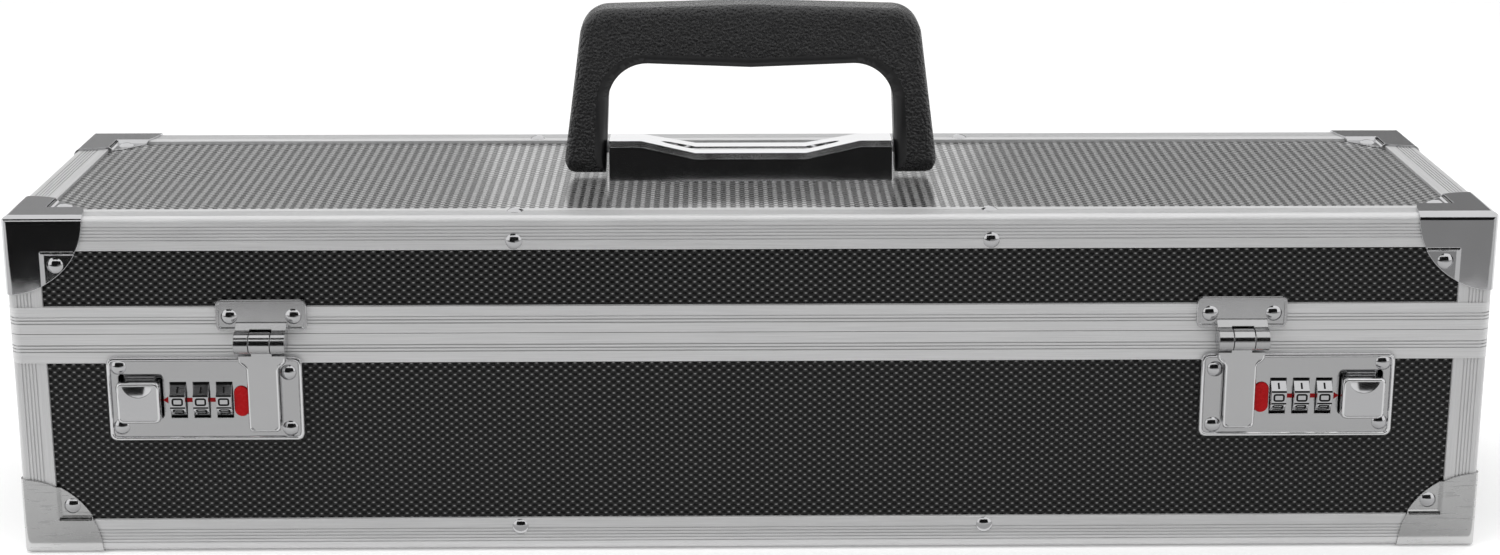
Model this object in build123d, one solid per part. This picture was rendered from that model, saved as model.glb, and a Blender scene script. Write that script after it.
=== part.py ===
from build123d import *
import math
import os

# Aluminium-framed knife case with two combination latches and a carrying handle.
# The frame of reference is the middle of the case, on the surface that it stands on:
# X runs along the case to the right, Y to the back and Z up. Sizes are in millimetres.

# Case body
case_length = 500.0
case_depth = 120.0
base_height = 78.5
lid_height = 40.5
seam_gap = 0.2

# Edge extrusions and the panels that slide into them
leg_width = 11.5
extrusion_wall = 1.2
lip_wall = 1.0
edge_radius = 2.0
leg_tip_radius = 0.4
panel_thickness = 3.4
panel_clearance = 0.1
panel_end_gap = 0.3
groove_width = 0.45
groove_depth = 0.3
groove_pitch = 1.15
groove_count = 5
first_groove = 3.0

# Rim extrusions at the seam, with a tongue on the base and a groove in the lid
base_rim_height = 10.2
lid_rim_height = 9.3
rim_proud = 0.5
rim_corner_radius = 3.5
rim_web = 3.0
rim_groove_count = 3
tongue_width = 1.0
tongue_height = 1.4
tongue_inset = 2.6
tongue_clearance = 0.5

# Corner caps
cap_wall = 0.7
cap_reach = 26.5
cap_rivet_inset = 16.5
cap_slit_width = 0.9
cap_slit_length = 11.0

# Rivets
rivet_head_radius = 2.8
rivet_head_height = 1.1
rivet_shank_radius = 1.5
lock_rivet_head_radius = 2.75
lock_rivet_shank_radius = 0.9
rivet_hole_clearance = 0.05
rivet_hole_reach = 12.0
frame_rivet_share = 0.32
frame_rivet_inset = 8.4

# Foam
base_foam_thickness = 14.0
lid_foam_thickness = 18.0
foam_clearance = 0.3

# Hinge barrels, at the back of the case and at the latches
knuckle_radius = 3.8
barrel_gap = 0.4
pin_radius = 1.4
pin_clearance = 0.05
knuckle_gap = 0.3

# Back hinges
hinge_share = 0.6
hinge_width = 36.0
hinge_leaf_height = 9.6
hinge_leaf_thickness = 1.2
hinge_centre_knuckle = 13.0
hinge_rivet_spacing = 26.0
hinge_rivet_drop = 6.8

# Handle and its bracket
handle_width = 133.6
handle_shoulder_width = 117.6
handle_top = 61.9
handle_crown = 1.7
handle_half_depth = 9.0
handle_opening_width = 103.4
handle_opening_top = 41.2
handle_palm_swell = 1.9
handle_outer_radius = 10.5
handle_inner_radius = 14.0
handle_edge_radius = 4.0
handle_inner_bevel = 4.0
handle_foot_radius = 6.0
pivot_height = 10.4
handle_pin_radius = 2.0
handle_pin_depth = 7.0
bracket_length = 100.6
bracket_flat_end = 11.4
bracket_dip_half = 19.7
bracket_end_height = 13.9
bracket_end_top_depth = 11.0
bracket_end_foot_depth = 17.0
bracket_middle_height = 10.0
bracket_middle_top_depth = 15.4
bracket_middle_foot_depth = 20.0
bracket_shoulder_fall = 2.0
bracket_shoulder_reach = 1.2
bracket_wall = 1.0
bracket_tab_width = 12.0
bracket_rivet_spacing = 64.0
backing_thickness = 1.2
backing_overhang = 4.0

# Lock plate and the places of its parts, outwards from the middle of the case
lock_end_inset = 32.0
lock_plate_width = 65.6
lock_plate_height = 29.2
lock_plate_drop = 8.0
lock_plate_thickness = 1.0
lock_plate_radius = 2.2
lock_bead_width = 0.8
lock_bead_height = 0.6
inner_rivet_x = 4.6
inner_rivet_top = 5.3
inner_rivet_foot = 3.9
outer_rivet_x = 61.8
outer_rivet_top = 3.2
outer_rivet_foot = 4.6

# Dials
dial_radius = 6.9
dial_facets = 10
dial_width = 5.2
dial_pitch = 7.8
dial_middle_x = 34.2
dial_drop = 23.0
dial_depth = 4.2
dial_window_margin = 0.3
dial_window_side = 0.2
axle_radius = 1.5
axle_clearance = 0.05
dial_hub_radius = 2.1
dial_hub_gap = 0.2
spring_thickness = 0.3
spring_strip_height = 2.0
spring_finger_width = 4.0
spring_finger_rise = 3.0

# Slide button and its bolt
button_width = 14.4
button_height = 14.2
button_proud = 4.0
button_middle_x = 54.8
button_drop = 22.8
button_travel = 2.5
button_lift = 0.3
button_corner_radius = 1.2
button_edge_radius = 0.9
button_scoop_radius = 5.4
button_scoop_depth = 1.6
button_scoop_reach = 4.0
button_rim = 1.1
button_gap_inner = 0.5
button_gap_top = 1.9
button_foot_overlap = 0.3
stem_width = 9.6
stem_margin = 0.8
slider_thickness = 1.0
slide_overlap = 1.0
slide_clearance = 0.1
bolt_height = 1.8

# Code setting button
code_button_width = 4.9
code_button_height = 10.6
code_button_middle_x = 20.7
code_button_drop = 23.4
code_button_proud = 0.6
code_button_travel = 0.5
code_flange_thickness = 0.4
code_flange_overlap = 0.4

# Lock body behind the plate
lock_body_depth = 11.6
lock_body_wall = 1.0
lock_body_clearance = 0.3
lock_body_inner_x = 8.0
lock_body_outer_x = 63.9
lock_body_top = 5.2
lock_body_foot = 24.3
tunnel_foot = 22.0
tunnel_inner_x = 47.9

# Hasp
hasp_middle_x = 12.8
hasp_tongue_width = 10.4
hasp_tongue_bottom = 33.5
hasp_shoulder_width = 15.6
hasp_shoulder_top = 6.5
hasp_shoulder_height = 2.7
hasp_shoulder_fall = 2.2
hasp_thickness = 2.0
hasp_wall = 0.8
hasp_lift = 0.3
hasp_corner = 2.0
hasp_barrel_width = 17.1
hasp_knuckle_width = 6.9
hasp_slot_gap = 0.6
hasp_axis_drop = 1.7
hook_width = 4.5
hook_height = 4.0
hook_drop = 16.6

# Lid bracket that carries the hasp
keeper_width = 30.0
keeper_height = 10.4
keeper_rise = 1.8
keeper_thickness = 1.0
keeper_radius = 1.4
keeper_rivet_spacing = 21.5
keeper_rivet_rise = 6.5
keeper_tongue_rise = 4.4
keeper_ramp_inset = 0.6
keeper_ramp_step = 0.3

# How far a cut runs past the face that it opens
cut_margin = 1.0

# Derived places
bottom = cap_wall
seam_z = bottom + base_height
lid_bottom = seam_z + seam_gap
lid_top = seam_z + lid_height
half_length = case_length / 2
half_depth = case_depth / 2
hinge_spacing = hinge_share * case_length
frame_rivet_spacing = frame_rivet_share * case_length
lock_inner_edge = half_length - lock_end_inset - lock_plate_width
lip_near = extrusion_wall + panel_thickness + panel_clearance
lip_far = lip_near + lip_wall
panel_inset = lip_far + panel_end_gap
rim_face = half_depth + rim_proud
barrel_y = rim_face + barrel_gap + knuckle_radius
hinge_axis_z = seam_z
hasp_axis_z = seam_z - hasp_axis_drop
lid_panel_top = lid_top - extrusion_wall
pivot_z = lid_panel_top + pivot_height
plate_back = rim_face
plate_face = plate_back + lock_plate_thickness
plate_top = seam_z - lock_plate_drop
dial_z = seam_z - dial_drop
dial_y = plate_face - dial_depth
hasp_back = plate_face + lock_bead_height + hasp_lift
hasp_front = hasp_back + hasp_thickness
slide_front = plate_back - slide_clearance
slide_back = slide_front - slider_thickness
rib_front = slide_front - code_flange_thickness - code_button_travel - button_lift


def block(x0, x1, y0, y1, z0, z1):
    """A box between two corners."""
    middle = ((x0 + x1) / 2, (y0 + y1) / 2, (z0 + z1) / 2)
    return Pos(*middle) * Box(abs(x1 - x0), abs(y1 - y0), abs(z1 - z0))


def rectangle(x0, x1, y0, y1):
    """A flat rectangle between two corners."""
    return Pos((x0 + x1) / 2, (y0 + y1) / 2) * Rectangle(abs(x1 - x0), abs(y1 - y0))


def rod(start, direction, radius, length):
    """A round bar from a point along a direction."""
    place = Plane(origin=start, z_dir=direction)
    return place * Cylinder(radius, length, align=(Align.CENTER, Align.CENTER, Align.MIN))


def across(face_points, x0, x1):
    """A prism along X whose section is drawn in Y and Z."""
    place = Plane(origin=(x0, 0, 0), x_dir=(0, 1, 0), z_dir=(1, 0, 0))
    return extrude(place * make_face(Polyline(*face_points, close=True)), amount=x1 - x0)


def left_right(piece):
    """A piece and its mirror image about the middle of the case."""
    return [piece, mirror(piece, about=Plane.YZ)]


def front_back(piece):
    """A piece and its mirror image about the middle of the depth."""
    return [piece, mirror(piece, about=Plane.XZ)]


def top_for_bottom(piece):
    """The lid's copy of a piece made at the underside of the base."""
    return Pos(0, 0, lid_top + bottom) * mirror(piece, about=Plane.XY)


def solids_of(pieces):
    """All solids of a list of pieces, as one group."""
    return Compound([solid for piece in pieces for solid in piece.solids()])


# Rivets: each seat is the point under the head and the way the head faces


def frame_rivet_seats(level, facing):
    """Rivets through the front and back legs of the long extrusions."""
    seats = []
    for x in (-frame_rivet_spacing / 2, frame_rivet_spacing / 2):
        for side in (-1, 1):
            seats.append(((x, side * half_depth, level), (0, side, 0)))
            if facing:
                inset = side * (half_depth - frame_rivet_inset)
                seats.append(((x, inset, lid_top), (0, 0, 1)))
    return seats


def cap_rivet_seats(z_face, z_way):
    """One rivet on each of a corner cap's three faces, over the panels."""
    drop = extrusion_wall - cap_wall
    seats = []
    for sx in (-1, 1):
        for sy in (-1, 1):
            x_in = sx * (half_length - cap_rivet_inset)
            y_in = sy * (half_depth - cap_rivet_inset)
            z_in = z_face - z_way * cap_rivet_inset
            seats.append(((x_in, y_in, z_face - z_way * drop), (0, 0, z_way)))
            seats.append(((x_in, sy * (half_depth - drop), z_in), (0, sy, 0)))
            seats.append(((sx * (half_length - drop), y_in, z_in), (sx, 0, 0)))
    return seats


def hinge_rivet_seats(z_way):
    """Rivets of the hinge leaves, above or below the hinge axis."""
    seats = []
    for centre in (-hinge_spacing / 2, hinge_spacing / 2):
        for x in (centre - hinge_rivet_spacing / 2, centre + hinge_rivet_spacing / 2):
            face = rim_face + hinge_leaf_thickness
            seats.append(((x, face, hinge_axis_z + z_way * hinge_rivet_drop), (0, 1, 0)))
    return seats


def lock_plate_rivet_seats():
    """Four rivets of each lock plate."""
    foot = plate_top - lock_plate_height
    places = [
        (inner_rivet_x, plate_top - inner_rivet_top),
        (inner_rivet_x, foot + inner_rivet_foot),
        (outer_rivet_x, plate_top - outer_rivet_top),
        (outer_rivet_x, foot + outer_rivet_foot),
    ]
    return [
        ((side * (lock_inner_edge + x), -plate_face, z), (0, -1, 0))
        for side in (-1, 1)
        for x, z in places
    ]


def keeper_rivet_seats():
    """Two rivets of each hasp bracket on the lid."""
    seats = []
    for side in (-1, 1):
        for step in (-keeper_rivet_spacing / 2, keeper_rivet_spacing / 2):
            x = side * (lock_inner_edge + hasp_middle_x) + step
            face = rim_face + keeper_thickness
            seats.append(((x, -face, seam_z + keeper_rivet_rise), (0, -1, 0)))
    return seats


def bracket_rivet_seats():
    """Two rivets through the tabs inside the handle bracket."""
    z = lid_panel_top + bracket_wall
    return [((x, 0, z), (0, 0, 1)) for x in (-bracket_rivet_spacing / 2, bracket_rivet_spacing / 2)]


top_rivet_level = lid_top - frame_rivet_inset
bottom_rivet_level = bottom + frame_rivet_inset
frame_grip = lip_far
cap_grip = cap_wall + panel_thickness
rim_grip = rim_proud + lip_far
bracket_grip = bracket_wall + panel_thickness + backing_thickness
lock_grip = plate_face - half_depth + extrusion_wall + panel_thickness


def rivet(seat, head_radius, shank_radius, grip):
    """A domed rivet, its shank as long as the stack that it holds."""
    point, outward = seat
    head_height = rivet_head_height
    ball = (head_radius**2 + head_height**2) / (2 * head_height)
    half_angle = math.asin(head_radius / ball) / 2
    shoulder = (ball * math.sin(half_angle), head_height - ball + ball * math.cos(half_angle))
    outline = Line((0, -grip), (0, head_height))
    outline += ThreePointArc((0, head_height), shoulder, (head_radius, 0))
    outline += Polyline((head_radius, 0), (shank_radius, 0), (shank_radius, -grip), (0, -grip))
    body = revolve(Plane.XZ * make_face(outline), Axis.Z)
    return Plane(origin=point, z_dir=outward) * body


def drilled(piece, seats, shank_radius=rivet_shank_radius):
    """A piece with the shank holes of some rivets."""
    for point, outward in seats:
        inward = tuple(-part for part in outward)
        start = tuple(place + part for place, part in zip(point, outward))
        piece -= rod(start, inward, shank_radius + rivet_hole_clearance, rivet_hole_reach)
    return piece


# Edge extrusions


def edge_section():
    """Double-channel angle: outer angle, inner lips and fine grooves on both legs."""
    outer = rectangle(0, leg_width, 0, leg_width)
    outer -= rectangle(extrusion_wall, leg_width, extrusion_wall, leg_width)
    corner = outer.vertices().sort_by_distance((0, 0, 0))[0]
    section = fillet(corner, edge_radius)
    section += rectangle(extrusion_wall, leg_width, lip_near, lip_far)
    section += rectangle(lip_near, lip_far, extrusion_wall, leg_width)
    tips = [corner for corner in section.vertices() if is_leg_tip(corner.X, corner.Y)]
    section = fillet(tips, leg_tip_radius)
    for row in range(groove_count):
        along = first_groove + row * groove_pitch
        section -= rectangle(along, along + groove_width, 0, groove_depth)
        section -= rectangle(0, groove_depth, along, along + groove_width)
    return section


def is_leg_tip(x, y):
    """Whether a corner of the section is the outer corner at the end of a leg."""
    return min(x, y) < 1e-6 and abs(max(x, y) - leg_width) < 1e-6


def edge_member(length, mitre_far_end=True):
    """A length of edge extrusion along X from 0, its corner edge on the X axis."""
    place = Plane(origin=(0, 0, 0), x_dir=(0, 1, 0), z_dir=(1, 0, 0))
    member = extrude(place * edge_section(), amount=length)
    over = leg_width + cut_margin
    wedge = make_face(Polyline((0, 0), (0, over), (over, over), close=True))
    depth = over + cut_margin
    flat_cut = extrude(Pos(0, 0, -cut_margin) * wedge, amount=depth)
    upright_cut = mirror(extrude(Plane.XZ * wedge, amount=-depth), about=Plane.XZ)
    upright_cut = Pos(0, over, 0) * upright_cut
    cuts = [flat_cut, upright_cut]
    if mitre_far_end:
        cuts += [Pos(length, 0, 0) * mirror(cut, about=Plane.YZ) for cut in cuts]
    for cut in cuts:
        member -= cut
    return member


def long_extrusion():
    """The front edge of the base, mitred at both ends."""
    return Pos(-half_length, -half_depth, bottom) * edge_member(case_length)


def side_extrusion():
    """The left edge of the base, mitred at both ends."""
    turned = mirror(Rot(0, 0, 90) * edge_member(case_depth), about=Plane.YZ)
    return Pos(-half_length, -half_depth, bottom) * turned


def corner_post(height):
    """The front left upright, mitred at its foot and cut square under the rim."""
    upright = mirror(Rot(0, -90, 0) * edge_member(height, mitre_far_end=False), about=Plane.YZ)
    return Pos(-half_length, -half_depth, bottom) * upright


def base_extrusions():
    seats = frame_rivet_seats(bottom_rivet_level, False)
    front = long_extrusion()
    left = side_extrusion()
    return {
        "base_front_extrusion": drilled(front, seats),
        "base_back_extrusion": drilled(mirror(front, about=Plane.XZ), seats),
        "base_left_extrusion": left,
        "base_right_extrusion": mirror(left, about=Plane.YZ),
        "base_corner_posts": four_corners(corner_post(base_height - base_rim_height)),
    }


def lid_extrusions():
    seats = frame_rivet_seats(top_rivet_level, True)
    front = top_for_bottom(long_extrusion())
    left = top_for_bottom(side_extrusion())
    post = top_for_bottom(corner_post(lid_height - lid_rim_height - seam_gap))
    return {
        "lid_front_extrusion": drilled(front, seats),
        "lid_back_extrusion": drilled(mirror(front, about=Plane.XZ), seats),
        "lid_left_extrusion": left,
        "lid_right_extrusion": mirror(left, about=Plane.YZ),
        "lid_corner_posts": four_corners(post),
    }


def four_corners(piece):
    """A front left piece repeated at all four corners."""
    return solids_of([copy for half in front_back(piece) for copy in left_right(half)])


# Rim extrusions


def ring(near, far, z0, z1):
    """A closed band round the case, between two depths from its outer faces."""
    outer_radius = max(rim_corner_radius - near, edge_radius / 2)
    inner_radius = max(rim_corner_radius - far, edge_radius / 2)
    outer = RectangleRounded(case_length - 2 * near, case_depth - 2 * near, outer_radius)
    inner = RectangleRounded(case_length - 2 * far, case_depth - 2 * far, inner_radius)
    return extrude(Pos(0, 0, z0) * (outer - inner), amount=z1 - z0)


def grooved(rim, z0, height):
    """Fine grooves round the rim's face."""
    start = z0 + (height - (rim_groove_count - 1) * groove_pitch - groove_width) / 2
    for row in range(rim_groove_count):
        z = start + row * groove_pitch
        rim -= ring(-rim_proud, groove_depth - rim_proud, z, z + groove_width)
    return rim


def base_rim():
    """Bent rim of the base, channel down over the panels, tongue up."""
    low = seam_z - base_rim_height
    rim = ring(-rim_proud, extrusion_wall, low, seam_z)
    rim += ring(lip_near, lip_far, low, seam_z)
    rim += ring(extrusion_wall, lip_near, seam_z - rim_web, seam_z)
    rim += ring(tongue_inset, tongue_inset + tongue_width, seam_z, seam_z + tongue_height)
    return drilled(grooved(rim, low, base_rim_height), hinge_rivet_seats(-1))


def lid_rim():
    """Bent rim of the lid, channel up over the panels, groove below."""
    high = lid_bottom + lid_rim_height
    rim = ring(-rim_proud, extrusion_wall, lid_bottom, high)
    rim += ring(lip_near, lip_far, lid_bottom, high)
    rim += ring(extrusion_wall, lip_near, lid_bottom, lid_bottom + rim_web)
    near = tongue_inset - tongue_clearance
    far = tongue_inset + tongue_width + tongue_clearance
    rim -= ring(near, far, lid_bottom, lid_bottom + tongue_height + seam_gap)
    rim = grooved(rim, lid_bottom, lid_rim_height)
    return drilled(drilled(rim, hinge_rivet_seats(1)), keeper_rivet_seats(), lock_rivet_shank_radius)


# Panels


def front_panel(z0, z1):
    """Upright panel behind the front legs of the extrusions."""
    reach = half_length - panel_inset
    face = -half_depth + extrusion_wall
    return block(-reach, reach, face, face + panel_thickness, z0, z1)


def left_panel(z0, z1):
    """End panel behind the legs of the extrusions."""
    reach = half_depth - panel_inset
    face = -half_length + extrusion_wall
    return block(face, face + panel_thickness, -reach, reach, z0, z1)


def flat_panel(z0):
    """Floor of the base or top of the lid."""
    x = half_length - panel_inset
    y = half_depth - panel_inset
    return block(-x, x, -y, y, z0, z0 + panel_thickness)


def base_panels():
    z0 = bottom + panel_inset
    z1 = seam_z - rim_web - panel_end_gap
    cap_seats = cap_rivet_seats(bottom, -1)
    seats = cap_seats + frame_rivet_seats(bottom_rivet_level, False)
    front_cut = drilled(front_panel(z0, z1), seats)
    back = mirror(front_cut, about=Plane.XZ)
    for side in (-1, 1):
        front_cut -= lock_cut_out(side)
    front_cut = drilled(front_cut, lock_plate_rivet_seats(), lock_rivet_shank_radius)
    left = drilled(left_panel(z0, z1), cap_seats)
    return {
        "base_floor_panel": drilled(flat_panel(bottom + extrusion_wall), cap_seats),
        "base_front_panel": front_cut,
        "base_back_panel": drilled(back, hinge_rivet_seats(-1)),
        "base_left_panel": left,
        "base_right_panel": mirror(left, about=Plane.YZ),
    }


def lid_panels():
    z0 = lid_bottom + rim_web + panel_end_gap
    z1 = lid_top - panel_inset
    cap_seats = cap_rivet_seats(lid_top, 1)
    seats = cap_seats + frame_rivet_seats(top_rivet_level, True)
    top = flat_panel(lid_panel_top - panel_thickness)
    front = drilled(front_panel(z0, z1), seats)
    back = mirror(front, about=Plane.XZ)
    left = drilled(left_panel(z0, z1), cap_seats)
    return {
        "lid_top_panel": drilled(top, seats + bracket_rivet_seats()),
        "lid_front_panel": drilled(front, keeper_rivet_seats(), lock_rivet_shank_radius),
        "lid_back_panel": drilled(back, hinge_rivet_seats(1)),
        "lid_left_panel": left,
        "lid_right_panel": mirror(left, about=Plane.YZ),
    }


# Corner caps


def corner_cap():
    """Pressed cap of the front left lower corner, stepped down from the legs to the panels."""
    t = cap_wall
    over = cap_reach + cut_margin
    skin = rounded_corner_block(-t, cap_reach, edge_radius + t)
    core = rounded_corner_block(0, over, edge_radius)
    core_start = leg_width + extrusion_wall
    skin_start = core_start + t * math.sqrt(2) - t
    for well in wells(skin_start, extrusion_wall - t, over, -t - cut_margin):
        skin -= well
    for well in wells(core_start, extrusion_wall, over + cut_margin, -cut_margin):
        core -= well
    cap = (skin - core) & Sphere(cap_reach)
    slit_start = leg_width + t
    slit_end = slit_start + cap_slit_length
    slit_back = extrusion_wall + t
    slit_top = leg_width + cap_slit_width
    slit = block(slit_start, slit_end, -t - cut_margin, slit_back, leg_width, slit_top)
    for turned in turned_round_corner(slit):
        cap -= turned
    placed = Pos(-half_length, -half_depth, bottom) * cap
    return drilled(placed, cap_rivet_seats(bottom, -1)[:3])


def rounded_corner_block(low, high, radius):
    """A cube whose three outer edges are rounded straight through the corner."""
    square = rectangle(low, high, low, high)
    corner = square.vertices().sort_by_distance((low, low, 0))[0]
    section = fillet(corner, radius)
    along_x = Plane(origin=(low, 0, 0), x_dir=(0, 1, 0), z_dir=(1, 0, 0))
    along_y = Plane(origin=(0, low, 0), x_dir=(0, 0, 1), z_dir=(0, 1, 0))
    along_z = Plane(origin=(0, 0, low))
    prisms = [extrude(place * section, amount=high - low) for place in (along_x, along_y, along_z)]
    return prisms[0] & prisms[1] & prisms[2]


def turned_round_corner(piece):
    """A piece on the front of a cap, and its copies on the cap's other two faces."""
    axis = Axis((0, 0, 0), (1, 1, 1))
    return [piece.rotate(axis, angle) for angle in (0, 120, 240)]


def wells(start, depth, far, outside):
    """The three shallow wells of a cap, where it slopes down to the panels."""
    mouth = start - (depth - outside)
    outline = [(start, depth), (far, depth), (far, outside), (mouth, outside)]
    section = make_face(Polyline(*outline, close=True))
    upright = extrude(Plane.XY * section, amount=far)
    level = Plane(origin=(0, 0, 0), x_dir=(0, 0, 1), z_dir=(-1, 0, 0))
    along = extrude(level * section, amount=-far)
    return turned_round_corner(upright & along)


# Foam pads


def foam_pad(z0, z1):
    x = half_length - lip_far - foam_clearance
    y = half_depth - lip_far - foam_clearance
    return block(-x, x, -y, y, z0, z1)


def base_foam_pad():
    z0 = bottom + lip_far + foam_clearance
    return foam_pad(z0, z0 + base_foam_thickness)


def lid_foam_pad():
    backing = extrusion_wall + panel_thickness + backing_thickness
    z1 = lid_top - max(lip_far, backing) - foam_clearance
    return foam_pad(z1 - lid_foam_thickness, z1)


# Back hinges


def knuckle(x0, x1, z_axis, y_axis, bore):
    """One rolled knuckle of a hinge, bored for its pin."""
    barrel = rod((x0, y_axis, z_axis), (1, 0, 0), knuckle_radius, x1 - x0)
    start = (x0 - cut_margin, y_axis, z_axis)
    return barrel - rod(start, (1, 0, 0), bore, x1 - x0 + 2 * cut_margin)


def hinge_leaf(x, z_way):
    """A leaf on the rim: the base one has the outer knuckles, the lid one the middle one."""
    half = hinge_width / 2
    middle = hinge_centre_knuckle / 2
    z_far = hinge_axis_z + z_way * hinge_leaf_height
    z_notch = hinge_axis_z + z_way * (knuckle_radius + knuckle_gap)
    outer_face = rim_face + hinge_leaf_thickness
    plate = block(x - half, x + half, rim_face, outer_face, z_notch, z_far)
    if z_way < 0:
        spans = [(x - half, x - middle - knuckle_gap), (x + middle + knuckle_gap, x + half)]
    else:
        spans = [(x - middle, x + middle)]
    bore = pin_radius if z_way < 0 else pin_radius + pin_clearance
    for x0, x1 in spans:
        web_top = hinge_axis_z + z_way * knuckle_radius / 2
        start = (x0 - cut_margin, barrel_y, hinge_axis_z)
        neck = block(x0, x1, rim_face, outer_face, hinge_axis_z, z_notch)
        neck += block(x0, x1, outer_face, barrel_y, hinge_axis_z, web_top)
        neck -= rod(start, (1, 0, 0), bore, x1 - x0 + 2 * cut_margin)
        plate += neck
        plate += knuckle(x0, x1, hinge_axis_z, barrel_y, bore)
    return drilled(plate, hinge_rivet_seats(z_way))


def hinge_pin(x):
    start = (x - hinge_width / 2, barrel_y, hinge_axis_z)
    return rod(start, (1, 0, 0), pin_radius, hinge_width)


def hinge_leaves():
    places = {"left": -hinge_spacing / 2, "right": hinge_spacing / 2}
    leaves = {f"hinge_base_leaf_{side}": hinge_leaf(x, -1) for side, x in places.items()}
    leaves.update({f"hinge_lid_leaf_{side}": hinge_leaf(x, 1) for side, x in places.items()})
    leaves["hinge_pins"] = solids_of([hinge_pin(x) for x in places.values()])
    return leaves


# Handle: drawn in X and Z with its foot round the pivot, about the lid panel's top


def facing_front(x, z, depth):
    """A drawing plane that looks forwards, at a depth in front of the case's middle."""
    return Plane(origin=(x, -depth, z), x_dir=(1, 0, 0), z_dir=(0, -1, 0))


def handle_outline(half_foot, half_shoulder, foot_z, shoulder_z, crown_z):
    """Outline of an arch: straight legs that lean in, and a crowned or sagging top."""
    return make_face(
        Polyline(
            (-half_foot, foot_z),
            (half_foot, foot_z),
            (half_shoulder, shoulder_z),
            (0, crown_z),
            (-half_shoulder, shoulder_z),
            close=True,
        )
    )


def rounded_at(face, level, radius):
    """Rounds the corners of a face that lie at one height."""
    corners = [corner for corner in face.vertices() if abs(corner.Y - level) < 1e-6]
    return fillet(corners, radius)


def handle_arch():
    """Front form of the grip: rounded outer edges and a bevel round the hand opening."""
    foot_z = pivot_height - handle_half_depth
    top_z = handle_top + extrusion_wall
    shoulder_z = top_z - handle_crown
    inner_top = handle_opening_top + extrusion_wall
    half_opening = handle_opening_width / 2
    half_shoulder = half_opening - handle_palm_swell
    outer = handle_outline(handle_width / 2, handle_shoulder_width / 2, foot_z, shoulder_z, top_z)
    outer = rounded_at(outer, shoulder_z, handle_outer_radius)
    outer = rounded_at(outer, foot_z, handle_foot_radius)
    inner_crown = inner_top - handle_palm_swell
    inner = handle_outline(half_opening, half_shoulder, foot_z - cut_margin, inner_top, inner_crown)
    inner = rounded_at(inner, inner_top, handle_inner_radius)
    arch = extrude(outer, amount=handle_half_depth, both=True)
    arch = fillet(arch.faces().filter_by(Axis.Z).edges(), handle_edge_radius)
    arch -= extrude(inner, amount=handle_half_depth + cut_margin, both=True)
    bevel_start = handle_half_depth - handle_inner_bevel
    bevel = extrude(Pos(0, 0, bevel_start) * inner, amount=handle_inner_bevel + cut_margin, taper=-45)
    arch -= bevel
    arch -= mirror(bevel, about=Plane.XY)
    return Rot(90, 0, 0) * arch


def handle_grip():
    """Moulded grip: the arch, with feet that are round about the pivot."""
    top_z = handle_top + extrusion_wall
    half_width = handle_width / 2
    side = rectangle(-handle_half_depth, handle_half_depth, pivot_height, top_z)
    side += Pos(0, pivot_height) * Circle(handle_half_depth)
    side = rounded_at(side, top_z, handle_edge_radius)
    end_view = Plane(origin=(-half_width, 0, 0), x_dir=(0, 1, 0), z_dir=(1, 0, 0))
    slab = extrude(end_view * side, amount=handle_width)
    grip = Pos(0, 0, lid_panel_top) * (handle_arch() & slab)
    for way in (-1, 1):
        start = (way * (handle_opening_width / 2 - cut_margin), 0, pivot_z)
        bore_length = cut_margin + handle_pin_depth + knuckle_gap
        grip -= rod(start, (way, 0, 0), handle_pin_radius + pin_clearance, bore_length)
    return grip


def bracket_section(x, height, top_depth, foot_depth, inset):
    """One cross-section of the bracket: a foot, a sloping shoulder and a flat top."""
    top = height - inset
    shoulder = top - bracket_shoulder_fall
    half_top = top_depth / 2 - inset
    half_shoulder = half_top + bracket_shoulder_reach
    half_foot = foot_depth / 2 - inset
    right_side = [(half_foot, 0), (half_shoulder, shoulder), (half_top, top)]
    left_side = [(-y, z) for y, z in reversed(right_side)]
    return make_face(Polyline(*[(x, y, z) for y, z in right_side + left_side], close=True))


def bracket_form(inset):
    """The handle bracket's outer form, or with an inset the hollow inside it."""
    half = bracket_length / 2 - inset
    flat = bracket_length / 2 - bracket_flat_end
    end = (bracket_end_height, bracket_end_top_depth, bracket_end_foot_depth, inset)
    middle = (bracket_middle_height, bracket_middle_top_depth, bracket_middle_foot_depth, inset)
    spans = [
        (0, bracket_dip_half, middle, middle),
        (bracket_dip_half, flat, middle, end),
        (flat, half, end, end),
    ]
    form = Part()
    for near_x, far_x, near, far in spans:
        form += loft([bracket_section(near_x, *near), bracket_section(far_x, *far)], ruled=True)
    return form + mirror(form, about=Plane.YZ)


def handle_bracket():
    """Pressed channel, open below, with two tabs riveted through the lid."""
    bracket = bracket_form(0) - bracket_form(bracket_wall)
    for x, _, _ in (point for point, _ in bracket_rivet_seats()):
        half_tab = bracket_tab_width / 2
        half_foot = bracket_middle_foot_depth / 2
        tab = block(x - half_tab, x + half_tab, -half_foot, half_foot, 0, bracket_wall)
        bracket += tab & bracket_form(0)
    bracket -= rod((-bracket_length, 0, pivot_height), (1, 0, 0), handle_pin_radius, 2 * bracket_length)
    return drilled(Pos(0, 0, lid_panel_top) * bracket, bracket_rivet_seats())


def handle_backing_plate():
    half = bracket_length / 2 - backing_overhang
    z1 = lid_panel_top - panel_thickness
    half_y = bracket_middle_top_depth / 2
    plate = block(-half, half, -half_y, half_y, z1 - backing_thickness, z1)
    return drilled(plate, bracket_rivet_seats())


def handle_pins():
    """Short steel pins between the bracket's ends and the feet of the grip."""
    start = bracket_length / 2 - 2 * bracket_wall
    length = handle_opening_width / 2 + handle_pin_depth - start
    pin = rod((-start, 0, pivot_z), (-1, 0, 0), handle_pin_radius, length)
    return solids_of(left_right(pin))


# Latches: built on the left, outwards from the plate's inner edge, and mirrored for the right


def lock_x(offset):
    """Where something lies on the left latch, outwards from the plate's inner edge."""
    return -(lock_inner_edge + offset)


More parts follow.
